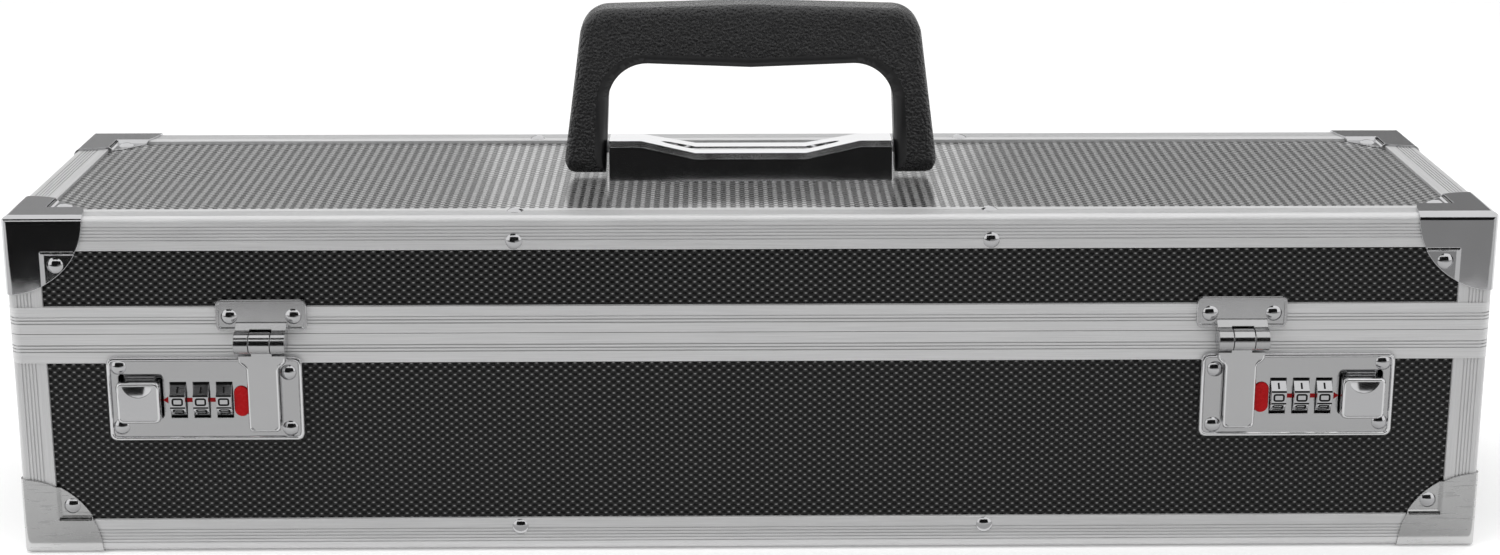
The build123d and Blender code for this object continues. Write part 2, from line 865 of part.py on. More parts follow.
def lock_block(x0, x1, z0, z1, back, front):
    """A block of the left latch, between two offsets and two depths."""
    return block(lock_x(x0), lock_x(x1), -front, -back, z0, z1)


def lock_body_outline(grow):
    """The body behind the plate: a slide tunnel all along it and a deeper box at the dials."""
    top = plate_top - lock_body_top + grow
    inner_x = lock_body_inner_x - grow
    tunnel = (inner_x, lock_body_outer_x + grow, plate_top - tunnel_foot - grow, top)
    dial_box = (inner_x, tunnel_inner_x + grow, plate_top - lock_body_foot - grow, top)
    return tunnel, dial_box


def lock_cut_out(side):
    """The opening in the front panel for one lock body."""
    back = half_depth - extrusion_wall - panel_thickness - cut_margin
    cut = Part()
    for x0, x1, z0, z1 in lock_body_outline(lock_body_clearance):
        cut += lock_block(x0, x1, z0, z1, back, half_depth)
    return cut if side < 0 else mirror(cut, about=Plane.YZ)


def dial_offsets():
    return [dial_middle_x + step * dial_pitch for step in (1, 0, -1)]


def lock_plate():
    """Pressed plate with a skirt down to the panel, and a raised edge cut away under the rivets."""
    middle_x = lock_x(lock_plate_width / 2)
    middle_z = plate_top - lock_plate_height / 2
    outer = RectangleRounded(lock_plate_width, lock_plate_height, lock_plate_radius)
    inner = RectangleRounded(
        lock_plate_width - 2 * lock_bead_width,
        lock_plate_height - 2 * lock_bead_width,
        lock_plate_radius - lock_bead_width,
    )
    panel_face = half_depth - extrusion_wall
    skirt_depth = plate_back - panel_face
    edge_band = outer - inner
    plate = extrude(facing_front(middle_x, middle_z, plate_back) * outer, amount=lock_plate_thickness)
    plate += extrude(facing_front(middle_x, middle_z, plate_face) * edge_band, amount=lock_bead_height)
    skirt = extrude(facing_front(middle_x, middle_z, panel_face) * edge_band, amount=skirt_depth)
    rim_foot = seam_z - base_rim_height
    over_x = lock_plate_width + cut_margin
    over_z = plate_top + cut_margin
    skirt -= lock_block(-cut_margin, over_x, rim_foot, over_z, panel_face - cut_margin, plate_back)
    plate += skirt
    for window in lock_windows():
        plate -= window
    spot_radius = lock_rivet_head_radius + rivet_hole_clearance
    for point, outward in lock_plate_rivet_seats()[:4]:
        plate -= rod(point, outward, spot_radius, cut_margin)
    return drilled(plate, lock_plate_rivet_seats(), lock_rivet_shank_radius)


def lock_windows():
    """Openings of the plate: three dials, slide button, code button and hasp hook."""
    back = plate_back - cut_margin
    front = plate_face + lock_bead_height + cut_margin
    reach = plate_back - dial_y
    half_window = math.sqrt(dial_radius**2 - reach**2) + dial_window_margin
    half_width = dial_width / 2 + dial_window_side
    low = dial_z - half_window
    high = dial_z + half_window
    windows = [lock_block(x - half_width, x + half_width, low, high, back, front) for x in dial_offsets()]
    x0, x1, z0, z1 = button_window()
    place = facing_front(lock_x((x0 + x1) / 2), (z0 + z1) / 2, back)
    button_opening = RectangleRounded(x1 - x0, z1 - z0, button_corner_radius)
    windows.append(extrude(place * button_opening, amount=front - back))
    windows.append(code_capsule(pin_clearance, back, front))
    half_slot = hook_width / 2 + hasp_lift
    slot_in = hasp_middle_x - half_slot
    slot_out = hasp_middle_x + half_slot
    slot_foot = seam_z - hook_drop - hook_height - 2 * hasp_lift
    windows.append(lock_block(slot_in, slot_out, slot_foot, plate_top + cut_margin, back, front))
    return windows


def button_window():
    """Window of the slide button, open on the side towards the dials."""
    middle_z = seam_z - button_drop
    x0 = button_middle_x - button_width / 2 - button_gap_inner
    x1 = button_middle_x + button_width / 2 - pin_clearance
    z0 = middle_z - button_height / 2 + button_foot_overlap
    z1 = middle_z + button_height / 2 + button_gap_top
    return x0, x1, z0, z1


def code_capsule(grow, back, front):
    """The upright round-ended form of the code button, between two depths."""
    place = facing_front(lock_x(code_button_middle_x), seam_z - code_button_drop, back)
    form = SlotOverall(code_button_height + 2 * grow, code_button_width + 2 * grow)
    return extrude(place * Rot(0, 0, 90) * form, amount=front - back)


def lock_body():
    """Open-fronted box behind the plate, with two ribs that carry the dial axle."""
    back = plate_back - lock_body_depth
    floor = back + lock_body_wall
    body = Part()
    for x0, x1, z0, z1 in lock_body_outline(0):
        body += lock_block(x0, x1, z0, z1, back, plate_back)
    for x0, x1, z0, z1 in lock_body_outline(-lock_body_wall):
        body -= lock_block(x0, x1, z0, z1, floor, plate_back)
    for x in rib_offsets():
        body += lock_block(x, x + lock_body_wall, z0, z1, floor, rib_front)
    reach = axle_half_length() + cut_margin
    return body - rod((lock_x(dial_middle_x + reach), -dial_y, dial_z), (1, 0, 0), axle_radius, 2 * reach)


def rib_offsets():
    """Where the two ribs beside the dials begin."""
    half = 1.5 * dial_pitch + dial_hub_gap
    return dial_middle_x - half - lock_body_wall, dial_middle_x + half


def axle_half_length():
    return 1.5 * dial_pitch + dial_hub_gap + lock_body_wall


def dial(offset):
    """Ten-sided wheel with a hub that spaces it from its neighbours."""
    sides = RegularPolygon(dial_radius, dial_facets, rotation=180 / dial_facets)
    place = Plane(origin=(lock_x(offset), -dial_y, dial_z), x_dir=(0, 1, 0), z_dir=(1, 0, 0))
    wheel = extrude(place * sides, amount=dial_width / 2, both=True)
    hub_length = dial_pitch - dial_hub_gap
    wheel += extrude(place * Circle(dial_hub_radius), amount=hub_length / 2, both=True)
    return wheel - extrude(place * Circle(axle_radius + axle_clearance), amount=hub_length, both=True)


def dial_spring():
    """Flat spring on the floor of the lock body: a strip with one finger behind each dial."""
    back = plate_back - lock_body_depth + lock_body_wall
    front = back + spring_thickness
    inner_rib, outer_rib = rib_offsets()
    low = plate_top - lock_body_foot + lock_body_wall
    strip_top = low + spring_strip_height
    spring = lock_block(inner_rib + lock_body_wall, outer_rib, low, strip_top, back, front)
    half = spring_finger_width / 2
    for x in dial_offsets():
        spring += lock_block(x - half, x + half, low, dial_z + spring_finger_rise, back, front)
    return spring


def dial_axle():
    half = axle_half_length()
    return rod((lock_x(dial_middle_x + half), -dial_y, dial_z), (1, 0, 0), axle_radius, 2 * half)


def button_head():
    """The thumb button in front of the plate, scooped out at its top."""
    middle = lock_x(button_middle_x)
    middle_z = seam_z - button_drop
    head_back = plate_face + button_lift
    outline = RectangleRounded(button_width, button_height, button_corner_radius)
    head = extrude(facing_front(middle, middle_z, head_back) * outline, amount=button_proud - button_lift)
    head = fillet(head.faces().sort_by(Axis.Y)[0].edges(), button_edge_radius)
    rim_z = middle_z + button_height / 2 - button_rim
    scoop_z = rim_z - button_scoop_reach + button_scoop_radius
    ball = (button_scoop_radius**2 + button_scoop_depth**2) / (2 * button_scoop_depth)
    scoop_y = plate_face + button_proud + ball - button_scoop_depth
    half = button_width / 2
    below_rim = block(middle - half, middle + half, -scoop_y, -plate_face, rim_z - button_height, rim_z)
    return head - (Pos(middle, -scoop_y, scoop_z) * Sphere(ball) & below_rim)


def slide_button():
    """Thumb button with its stem, its slide in the tunnel and the bolt that reaches to the hasp."""
    x0, x1, z0, z1 = button_window()
    stem_out = x1 - button_travel - pin_clearance
    stem_in = stem_out - stem_width
    head_back = plate_face + button_lift
    stem = lock_block(stem_in, stem_out, z0 + stem_margin, z1 - stem_margin, slide_back, head_back)
    tunnel_top = plate_top - lock_body_top - lock_body_wall - slide_clearance
    tunnel_low = plate_top - tunnel_foot + lock_body_wall + slide_clearance
    slide_in = stem_in - slide_overlap
    slide_out = lock_body_outer_x - lock_body_wall - button_travel - slide_clearance
    slide = lock_block(slide_in, slide_out, tunnel_low, tunnel_top, slide_back, slide_front)
    nose_in = hasp_middle_x - hook_width / 2
    nose_out = nose_in + hook_width - slide_clearance
    nose_foot = seam_z - hook_drop - hook_height
    bolt = lock_block(nose_in, slide_in, tunnel_top - bolt_height, tunnel_top, slide_back, slide_front)
    bolt += lock_block(nose_in, nose_out, nose_foot, tunnel_top, slide_back, slide_front)
    return button_head() + stem + slide + bolt


def code_button():
    """Capsule-shaped button with a thin flange behind the plate."""
    flange_back = slide_front - code_flange_thickness
    button = code_capsule(0, flange_back, plate_face + code_button_proud)
    return button + code_capsule(code_flange_overlap, flange_back, slide_front)


def hasp():
    """Pressed hasp: knuckle, shoulders and a dished tongue with a hook on its back."""
    middle = lock_x(hasp_middle_x)
    half_knuckle = hasp_knuckle_width / 2
    half_hook = hook_width / 2
    shoulder_top = seam_z - hasp_shoulder_top
    hook_top = seam_z - hook_drop
    hook_tip = plate_back + hasp_lift
    back_view = facing_front(middle, seam_z, hasp_back)
    body = extrude(back_view * hasp_outline(0), amount=hasp_thickness)
    body -= extrude(back_view * hasp_outline(hasp_wall), amount=hasp_thickness - hasp_wall)
    neck_low = shoulder_top - hasp_wall
    neck = block(middle - half_knuckle, middle + half_knuckle, -hasp_front, -hasp_back, neck_low, hasp_axis_z)
    axis_start = (middle - half_knuckle, -barrel_y, hasp_axis_z)
    body += neck + rod(axis_start, (1, 0, 0), knuckle_radius, hasp_knuckle_width)
    hook_front = -hasp_front + hasp_wall / 2
    hook_foot = hook_top - hook_height
    body += block(middle - half_hook, middle + half_hook, hook_front, -hook_tip, hook_foot, hook_top)
    tongue_edges = [edge for edge in body.edges() if on_tongue_front(edge, shoulder_top)]
    body = chamfer(tongue_edges, hasp_wall / 2)
    bore_start = (middle - hasp_knuckle_width, -barrel_y, hasp_axis_z)
    return body - rod(bore_start, (1, 0, 0), pin_radius + pin_clearance, 2 * hasp_knuckle_width)


def on_tongue_front(edge, shoulder_top):
    """Whether an edge lies in the hasp's front face, below the top of its shoulders."""
    box = edge.bounding_box()
    in_front = abs(box.min.Y + hasp_front) < pin_clearance and box.size.Y < pin_clearance
    return in_front and box.max.Z < shoulder_top - pin_clearance


def hasp_outline(inset):
    """Front view of the hasp below its knuckle, about the seam, drawn in by an inset."""
    half_tongue = hasp_tongue_width / 2 - inset
    half_shoulder = hasp_shoulder_width / 2 - inset
    top = -hasp_shoulder_top - inset
    shoulder_foot = -hasp_shoulder_top - hasp_shoulder_height + inset
    foot = -hasp_tongue_bottom + inset
    tongue = rectangle(-half_tongue, half_tongue, foot, top)
    corners = [corner for corner in tongue.vertices() if abs(corner.Y - foot) < 1e-6]
    tongue = chamfer(corners, hasp_corner)
    outline = tongue + rectangle(-half_shoulder, half_shoulder, shoulder_foot, top)
    necks = [
        corner
        for corner in outline.vertices()
        if abs(corner.Y - shoulder_foot) < 1e-6 and abs(abs(corner.X) - half_tongue) < 1e-6
    ]
    return fillet(necks, hasp_shoulder_fall)


def hasp_bracket():
    """Bracket on the lid rim: a plate with a raised edge and a tongue rolled into knuckles."""
    middle = lock_x(hasp_middle_x)
    middle_z = seam_z + keeper_rise + keeper_height / 2
    outer = RectangleRounded(keeper_width, keeper_height, keeper_radius)
    inner = RectangleRounded(
        keeper_width - 2 * lock_bead_width,
        keeper_height - 2 * lock_bead_width,
        keeper_radius - lock_bead_width,
    )
    face = rim_face + keeper_thickness
    plate = extrude(facing_front(middle, middle_z, rim_face) * outer, amount=keeper_thickness)
    plate += extrude(facing_front(middle, middle_z, face) * (outer - inner), amount=lock_bead_height)
    plate += hasp_bracket_tongue(middle)
    return drilled(plate, keeper_rivet_seats(), lock_rivet_shank_radius)


def hasp_bracket_tongue(middle):
    """The ramp of the bracket and its barrel, with a gap for the hasp's knuckle."""
    half_barrel = hasp_barrel_width / 2
    half_slot = hasp_knuckle_width / 2 + knuckle_gap
    face = rim_face + keeper_thickness
    ramp_top = seam_z + keeper_tongue_rise
    ramp_out = barrel_y - keeper_ramp_inset
    section = [
        (-rim_face, ramp_top),
        (-face - lock_bead_height, ramp_top),
        (-ramp_out, hasp_axis_z + knuckle_radius + keeper_ramp_step),
        (-ramp_out, hasp_axis_z + knuckle_radius / 2),
        (-barrel_y, hasp_axis_z),
        (-rim_face - 2 * barrel_gap, seam_z + barrel_gap),
        (-rim_face, lid_bottom + keeper_thickness),
    ]
    tongue = across(section, middle - half_barrel, middle + half_barrel)
    barrel_start = (middle - half_barrel, -barrel_y, hasp_axis_z)
    tongue += rod(barrel_start, (1, 0, 0), knuckle_radius, hasp_barrel_width)
    slot_start = (middle - half_slot, -barrel_y, hasp_axis_z)
    tongue -= rod(slot_start, (1, 0, 0), knuckle_radius + hasp_slot_gap, 2 * half_slot)
    bore_start = (middle - hasp_barrel_width, -barrel_y, hasp_axis_z)
    return tongue - rod(bore_start, (1, 0, 0), pin_radius, 2 * hasp_barrel_width)


def hasp_pin():
    start = (lock_x(hasp_middle_x) - hasp_barrel_width / 2, -barrel_y, hasp_axis_z)
    return rod(start, (1, 0, 0), pin_radius, hasp_barrel_width)


def latches():
    """Every piece of both latches, the right one the mirror image of the left."""
    left = {
        "lock_plate": lock_plate(),
        "lock_body": lock_body(),
        "slide_button": slide_button(),
        "code_button": code_button(),
        "hasp": hasp(),
        "hasp_bracket": hasp_bracket(),
    }
    pieces = {}
    for name, piece in left.items():
        pieces[f"{name}_left"], pieces[f"{name}_right"] = left_right(piece)
    for number, offset in enumerate(dial_offsets(), start=1):
        wheel = dial(offset)
        pieces[f"dial_left_{number}"] = wheel
        pieces[f"dial_right_{4 - number}"] = mirror(wheel, about=Plane.YZ)
    pieces["dial_axles"] = solids_of(left_right(dial_axle()))
    pieces["dial_springs"] = solids_of(left_right(dial_spring()))
    pieces["hasp_pins"] = solids_of(left_right(hasp_pin()))
    return pieces


def rivets(groups):
    """Domed rivets at their seats, one solid each."""
    return solids_of(
        [rivet(seat, head, shank, grip) for seats, head, shank, grip in groups for seat in seats]
    )


def base_rivets():
    big = (rivet_head_radius, rivet_shank_radius)
    small = (lock_rivet_head_radius, lock_rivet_shank_radius)
    return rivets(
        [
            (frame_rivet_seats(bottom_rivet_level, False), *big, frame_grip),
            (cap_rivet_seats(bottom, -1), *big, cap_grip),
            (hinge_rivet_seats(-1), *big, hinge_leaf_thickness + rim_grip),
            (lock_plate_rivet_seats(), *small, lock_grip),
        ]
    )


def lid_rivets():
    big = (rivet_head_radius, rivet_shank_radius)
    small = (lock_rivet_head_radius, lock_rivet_shank_radius)
    return rivets(
        [
            (frame_rivet_seats(top_rivet_level, True), *big, frame_grip),
            (cap_rivet_seats(lid_top, 1), *big, cap_grip),
            (hinge_rivet_seats(1), *big, hinge_leaf_thickness + rim_grip),
            (keeper_rivet_seats(), *small, keeper_thickness + rim_grip),
            (bracket_rivet_seats(), *big, bracket_grip),
        ]
    )


def all_nodes():
    """Every sub-part of the case by its name."""
    nodes = {}
    for make in (base_extrusions, base_panels, lid_extrusions, lid_panels, hinge_leaves, latches):
        nodes.update(make())
    base_caps = four_corners(corner_cap())
    nodes["base_corner_caps"] = base_caps
    nodes["lid_corner_caps"] = solids_of([top_for_bottom(cap) for cap in base_caps.solids()])
    nodes["base_rim"] = base_rim()
    nodes["lid_rim"] = lid_rim()
    nodes["base_rivets"] = base_rivets()
    nodes["lid_rivets"] = lid_rivets()
    nodes["base_foam_pad"] = base_foam_pad()
    nodes["lid_foam_pad"] = lid_foam_pad()
    nodes["handle_grip"] = handle_grip()
    nodes["handle_bracket"] = handle_bracket()
    nodes["handle_backing_plate"] = handle_backing_plate()
    nodes["handle_pins"] = handle_pins()
    return nodes


os.makedirs("parts", exist_ok=True)
for name, piece in all_nodes().items():
    export_step(piece, f"parts/{name}.step")
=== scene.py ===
import math

import bmesh
import bpy
from mathutils import Euler, Matrix, Vector


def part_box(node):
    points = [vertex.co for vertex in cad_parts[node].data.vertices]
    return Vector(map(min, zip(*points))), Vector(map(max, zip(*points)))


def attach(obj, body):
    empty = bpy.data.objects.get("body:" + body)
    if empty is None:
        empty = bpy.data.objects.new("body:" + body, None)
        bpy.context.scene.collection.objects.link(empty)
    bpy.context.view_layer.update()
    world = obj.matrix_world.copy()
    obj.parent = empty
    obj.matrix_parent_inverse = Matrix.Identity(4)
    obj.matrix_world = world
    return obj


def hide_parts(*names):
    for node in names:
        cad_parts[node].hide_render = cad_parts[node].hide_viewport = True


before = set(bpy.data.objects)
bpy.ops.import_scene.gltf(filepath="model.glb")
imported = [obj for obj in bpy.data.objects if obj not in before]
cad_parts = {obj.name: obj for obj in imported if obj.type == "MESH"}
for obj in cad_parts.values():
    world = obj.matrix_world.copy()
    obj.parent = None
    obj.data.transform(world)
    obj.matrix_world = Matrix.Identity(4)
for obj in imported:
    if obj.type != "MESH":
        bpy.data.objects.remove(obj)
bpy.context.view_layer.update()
scene = bpy.context.scene
MM = 0.001


# The studio: a pale table under one broad soft lamp, with a weaker lamp from the left. Cards that
# only reflections see give the chrome its darker parts, and the lamps themselves aren't reflected.
floor_glow = 0.17
surround_light = 0.62


def add(tree, kind, inputs=(), **settings):
    """A shader node with its settings, and its inputs linked or set."""
    made = tree.nodes.new(kind)
    for name, value in settings.items():
        setattr(made, name, value)
    for socket, value in dict(inputs).items():
        if isinstance(value, bpy.types.NodeSocket):
            tree.links.new(value, made.inputs[socket])
        else:
            made.inputs[socket].default_value = value
    return made


def maths(tree, operation, *values):
    """The result of a sum of shader values and numbers."""
    return add(tree, "ShaderNodeMath", dict(enumerate(values)), operation=operation).outputs[0]


def finish_look(name, **shader):
    """A new material, its node tree and its shader, with the shader's own sockets set."""
    material = bpy.data.materials.new(name)
    material.use_nodes = True
    tree = material.node_tree
    surface = tree.nodes["Principled BSDF"]
    for socket, value in shader.items():
        surface.inputs[socket.replace("_", " ")].default_value = value
    return material, tree, surface


def seen_directly(tree):
    """1 for what the camera, a mirror or glass shows, and 0 for the light on matt surfaces."""
    path = add(tree, "ShaderNodeLightPath").outputs
    mirrored = maths(tree, "MAXIMUM", path["Is Camera Ray"], path["Is Glossy Ray"])
    return maths(tree, "MAXIMUM", mirrored, path["Is Transmission Ray"])


def new_object(name, mesh_maker):
    """An object at the origin from a function that fills a bmesh."""
    mesh = bpy.data.meshes.new(name)
    made = bpy.data.objects.new(name, mesh)
    scene.collection.objects.link(made)
    shape = bmesh.new()
    mesh_maker(shape)
    shape.to_mesh(mesh)
    shape.free()
    return made


def card(name, size, middle, tilt, look):
    """A flat rectangle of the studio, sized, tilted about X by an angle in degrees, and moved."""

    def fill(shape):
        bmesh.ops.create_grid(shape, x_segments=1, y_segments=1, size=0.5)
        bmesh.ops.scale(shape, vec=(*size, 1), verts=shape.verts)
        tilted = Matrix.Rotation(math.radians(tilt), 3, "X")
        bmesh.ops.rotate(shape, cent=(0, 0, 0), matrix=tilted, verts=shape.verts)
        bmesh.ops.translate(shape, vec=middle, verts=shape.verts)

    made = new_object(name, fill)
    made.data.materials.append(look)
    return made


def card_look(name, grey):
    """Matt card of one grey."""
    material, _, surface = finish_look(name, Roughness=1.0)
    surface.inputs["Base Color"].default_value = (grey, grey, grey, 1)
    surface.inputs["Specular IOR Level"].default_value = 0.0
    return material


floor_look, floor_tree, floor_surface = finish_look("pale_floor", Roughness=0.9)
floor_grain = add(floor_tree, "ShaderNodeTexNoise", {"Scale": 3.0, "Detail": 3.0})
floor_tone = add(
    floor_tree,
    "ShaderNodeMix",
    {0: floor_grain.outputs["Fac"], 6: (0.90, 0.90, 0.90, 1), 7: (0.93, 0.93, 0.93, 1)},
    data_type="RGBA",
)
floor_tree.links.new(floor_tone.outputs[2], floor_surface.inputs["Base Color"])
floor_surface.inputs["Emission Color"].default_value = (1, 1, 1, 1)
floor_lift = maths(floor_tree, "MULTIPLY", seen_directly(floor_tree), floor_glow)
floor_tree.links.new(floor_lift, floor_surface.inputs["Emission Strength"])
card("floor", (9, 9), (0, 0, 0), 0, floor_look)

black_card = card_look("black_card", 0.01)
dark_card = card_look("dark_card", 0.25)
grey_card = card_look("grey_card", 0.34)
near_card = card_look("near_card", 0.58)
for name, size, middle, tilt, look in (
    ("near_card", (2.4, 0.282), (0, -0.204, 0.003), 0, near_card),
    ("low_card_left", (1.2, 1.035), (-0.6, -0.8625, 0.004), 0, black_card),
    ("low_card_right", (1.2, 1.035), (0.6, -0.8625, 0.004), 0, dark_card),
    ("front_card", (2.6, 1.05), (0, -1.40, 0.525), 90, black_card),
    ("upper_left_card", (1.1, 0.5), (-0.35, -0.70, 1.10), 0, black_card),
    ("back_card_left", (0.56, 0.56), (-0.50, 1.25, 0.33), 90, grey_card),
    ("back_card_right", (0.56, 0.56), (0.50, 1.25, 0.33), 90, dark_card),
):
    placed = card(name, size, middle, tilt, look)
    placed.visible_camera = False
    placed.visible_diffuse = False
    placed.visible_shadow = False

world = bpy.data.worlds.new("studio")
scene.world = world
world.use_nodes = True
sky = world.node_tree
backdrop = sky.nodes["Background"]
levels = {"Value": seen_directly(sky), "To Min": surround_light, "To Max": 1.0}
strength = add(sky, "ShaderNodeMapRange", levels)
backdrop.inputs["Color"].default_value = (1, 1, 1, 1)
sky.links.new(strength.outputs[0], backdrop.inputs["Strength"])


def soft_lamp(name, place, target, width, depth, watts):
    """A rectangular lamp that faces its target and isn't seen in reflections."""
    lamp = bpy.data.lights.new(name, "AREA")
    lamp.shape = "RECTANGLE"
    lamp.size, lamp.size_y, lamp.energy = width, depth, watts
    made = bpy.data.objects.new(name, lamp)
    made.location = place
    made.rotation_euler = (Vector(target) - Vector(place)).to_track_quat("-Z", "Y").to_euler()
    made.visible_glossy = False
    scene.collection.objects.link(made)


soft_lamp("lamp_above", (0.0, -0.30, 1.6), (0, -0.30, 0.05), 3.0, 2.0, 25)
soft_lamp("lamp_left", (-1.3, -0.9, 0.8), (0, 0, 0.06), 0.9, 0.9, 5)

camera = bpy.data.objects.new("camera", bpy.data.cameras.new("camera"))
scene.collection.objects.link(camera)
camera.location = (-0.01119, -0.8195, 0.3307)
pitch, yaw, roll = (math.radians(angle) for angle in (13.846, 0.7695, 0.037))
facing = Euler((math.pi / 2 - pitch, 0, -yaw)).to_matrix() @ Matrix.Rotation(roll, 3, "Z")
camera.rotation_euler = facing.to_euler()
camera.data.lens = 56.64
camera.data.sensor_width = 36
camera.data.shift_y = -0.0869
camera.data.clip_start = 0.01
scene.camera = camera
scene.view_settings.view_transform = "Standard"


# Panels: thin black plastic sheet pressed with staggered rows of small pits between raised ridges,
# cut to slide into the channels of the frame. The gloss is slightly uneven from the rolling.


def place_of(tree):
    """A point of the piece, in millimetres."""
    here = add(tree, "ShaderNodeTexCoord").outputs["Object"]
    scaled = add(tree, "ShaderNodeVectorMath", {0: here, 1: (1000, 1000, 1000)}, operation="MULTIPLY")
    return scaled.outputs[0]


def noise(tree, where, scale, stretch=(1, 1, 1), detail=4.0):
    """Noise whose grain is stretched along an axis, with a size per millimetre."""
    mapped = add(tree, "ShaderNodeMapping", {"Vector": where, "Scale": stretch})
    grain = {"Vector": mapped.outputs[0], "Scale": scale, "Detail": detail}
    return add(tree, "ShaderNodeTexNoise", grain).outputs["Fac"]


def spread(tree, value, low, high):
    """Maps noise from 0.3..0.7 to a range."""
    limits = {"Value": value, "From Min": 0.3, "From Max": 0.7, "To Min": low, "To Max": high}
    return add(tree, "ShaderNodeMapRange", limits).outputs[0]


def tinted(tree, surface, value, dark, light):
    """Lets a value choose between two colours of the surface."""
    mix = add(tree, "ShaderNodeMix", {0: value, 6: (*dark, 1), 7: (*light, 1)}, data_type="RGBA")
    tree.links.new(mix.outputs[2], surface.inputs["Base Color"])


def bumped(tree, surface, height, depth_mm, edge_mm=0.0):
    """Small relief, on edges that are shaded as if rounded to a radius."""
    made = add(tree, "ShaderNodeBump", {"Height": height, "Distance": depth_mm * MM})
    if edge_mm:
        rounded = add(tree, "ShaderNodeBevel", {"Radius": edge_mm * MM}, samples=6)
        tree.links.new(rounded.outputs[0], made.inputs["Normal"])
    tree.links.new(made.outputs[0], surface.inputs["Normal"])


pit_pitch_along = 3.26
pit_pitch_across = 2.72
pit_depth = 0.5
pit_levels = (-0.38, 0.34)
# The crest levels pick where the crests get a painted highlight, and the pit black below is painted
# shade in the pits.
crest_highlight_levels = (-0.45, -0.95)
pit_dullness = 0.75
painted_pit_shade = (0.0005, 0.0005, 0.0005)


def pressed_panel_look(name, along, across, gloss, lacquer, ridge_highlight_grey, ridge_highlight_share, rows):
    """Black sheet with staggered rows of small lens-shaped pits, painted black in the pits as
    shade and painted grey on the ridges as highlight.

    The ridge highlight grey is painted on the crests, and its share is how much of it the slopes
    of the ridges show. Rows draws the pits together into lines across the sheet.
    """
    material, tree, surface = finish_look(name, Metallic=0.0)
    surface.inputs["Specular IOR Level"].default_value = gloss
    surface.inputs["Coat Roughness"].default_value = 0.14
    surface.inputs["Coat IOR"].default_value = 1.8
    where = place_of(tree)
    axes = add(tree, "ShaderNodeSeparateXYZ", {0: where})
    turns_along = maths(tree, "MULTIPLY", axes.outputs[along], 2 * math.pi / pit_pitch_along)
    turns_across = maths(tree, "MULTIPLY", axes.outputs[across], 2 * math.pi / pit_pitch_across)
    wave = maths(tree, "COSINE", turns_across)
    narrow_wave = maths(tree, "MULTIPLY", wave, maths(tree, "MULTIPLY", wave, wave))
    columns = maths(tree, "COSINE", turns_along)
    staggered = maths(tree, "MULTIPLY", columns, narrow_wave)
    lattice = maths(tree, "ADD", staggered, maths(tree, "MULTIPLY", columns, rows))
    limits = {"Value": lattice, "From Min": pit_levels[0], "From Max": pit_levels[1]}
    pits = add(tree, "ShaderNodeMapRange", limits, interpolation_type="SMOOTHSTEP").outputs[0]
    grain = noise(tree, where, 1.4)
    level = maths(tree, "SUBTRACT", maths(tree, "MULTIPLY", grain, 0.08), pits)
    bumped(tree, surface, level, pit_depth)
    limits = {"Value": lattice, "From Min": crest_highlight_levels[0], "From Max": crest_highlight_levels[1]}
    painted_crest_highlight = add(tree, "ShaderNodeMapRange", limits, interpolation_type="SMOOTHSTEP").outputs[0]
    painted_ridge_highlight = maths(tree, "MULTIPLY", maths(tree, "SUBTRACT", 1.0, pits), ridge_highlight_share)
    light = maths(tree, "ADD", painted_ridge_highlight, maths(tree, "MULTIPLY", painted_crest_highlight, 1 - ridge_highlight_share))
    if lacquer:
        open_face = maths(tree, "SUBTRACT", 1.0, maths(tree, "MULTIPLY", pits, pit_dullness))
        shine = maths(tree, "MULTIPLY", open_face, lacquer)
        tree.links.new(shine, surface.inputs["Coat Weight"])
    # Painted light: the pits are coloured near black as shade, and the ridges and crests grey as
    # highlight.
    tinted(tree, surface, light, painted_pit_shade, (ridge_highlight_grey, ridge_highlight_grey, ridge_highlight_grey))
    tree.links.new(spread(tree, noise(tree, where, 0.25), 0.24, 0.32), surface.inputs["Roughness"])
    return material


def paint(node, material):
    """Gives a CAD node its finish through its first slot."""
    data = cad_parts[node].data
    if data.materials:
        data.materials[0] = material
    else:
        data.materials.append(material)


level_panel = pressed_panel_look("pressed_sheet_level", "X", "Y", 0.6, 1.0, 0.36, 1.0, 0.45)
upright_panel = pressed_panel_look("pressed_sheet_upright", "X", "Z", 0.22, 0.0, 0.20, 0.16, 0.0)
end_panel = pressed_panel_look("pressed_sheet_end", "Y", "Z", 0.22, 0.0, 0.20, 0.16, 0.0)
for half in ("lid", "base"):
    for side in ("front", "back"):
        paint(f"{half}_{side}_panel", upright_panel)
    for side in ("left", "right"):
        paint(f"{half}_{side}_panel", end_panel)
paint("lid_top_panel", level_panel)
paint("base_floor_panel", level_panel)


# Frame: extruded aluminium channel, grooved along its length, anodised satin and mitred at the
# corners. The rims at the seam are the same metal bent round the case in one length.


def mostly(tree, main, other):
    """Two noises as one, with a little more of the first."""
    return maths(tree, "ADD", maths(tree, "MULTIPLY", main, 0.6), maths(tree, "MULTIPLY", other, 0.4))


def drawn_aluminium_look(name, stretch, tone, rough=(0.42, 0.54)):
    """Satin metal with painted shade darkening its grooves, and faint draw lines along the stretched
    axis.
    """
    material, tree, surface = finish_look(name, Metallic=0.55)
    where = place_of(tree)
    lines = noise(tree, where, 2.2, stretch, 5.0)
    cloud = noise(tree, where, 0.03)
    light = (tone, tone, 1.005 * tone)
    # Painted shade: the colour darkens where the surface is hollow, in the grooves and inner corners.
    hollow = add(tree, "ShaderNodeNewGeometry").outputs["Pointiness"]
    limits = {"Value": hollow, "From Min": 0.40, "From Max": 0.50, "To Min": -0.9, "To Max": 0.0}
    painted_groove_shade = add(tree, "ShaderNodeMapRange", limits).outputs[0]
    shade = maths(tree, "ADD", spread(tree, lines, 0.75, 1.0), painted_groove_shade)
    tinted(tree, surface, shade, tuple(0.45 * part for part in light), light)
    tree.links.new(spread(tree, mostly(tree, lines, cloud), *rough), surface.inputs["Roughness"])
    bumped(tree, surface, lines, 0.012)
    return material


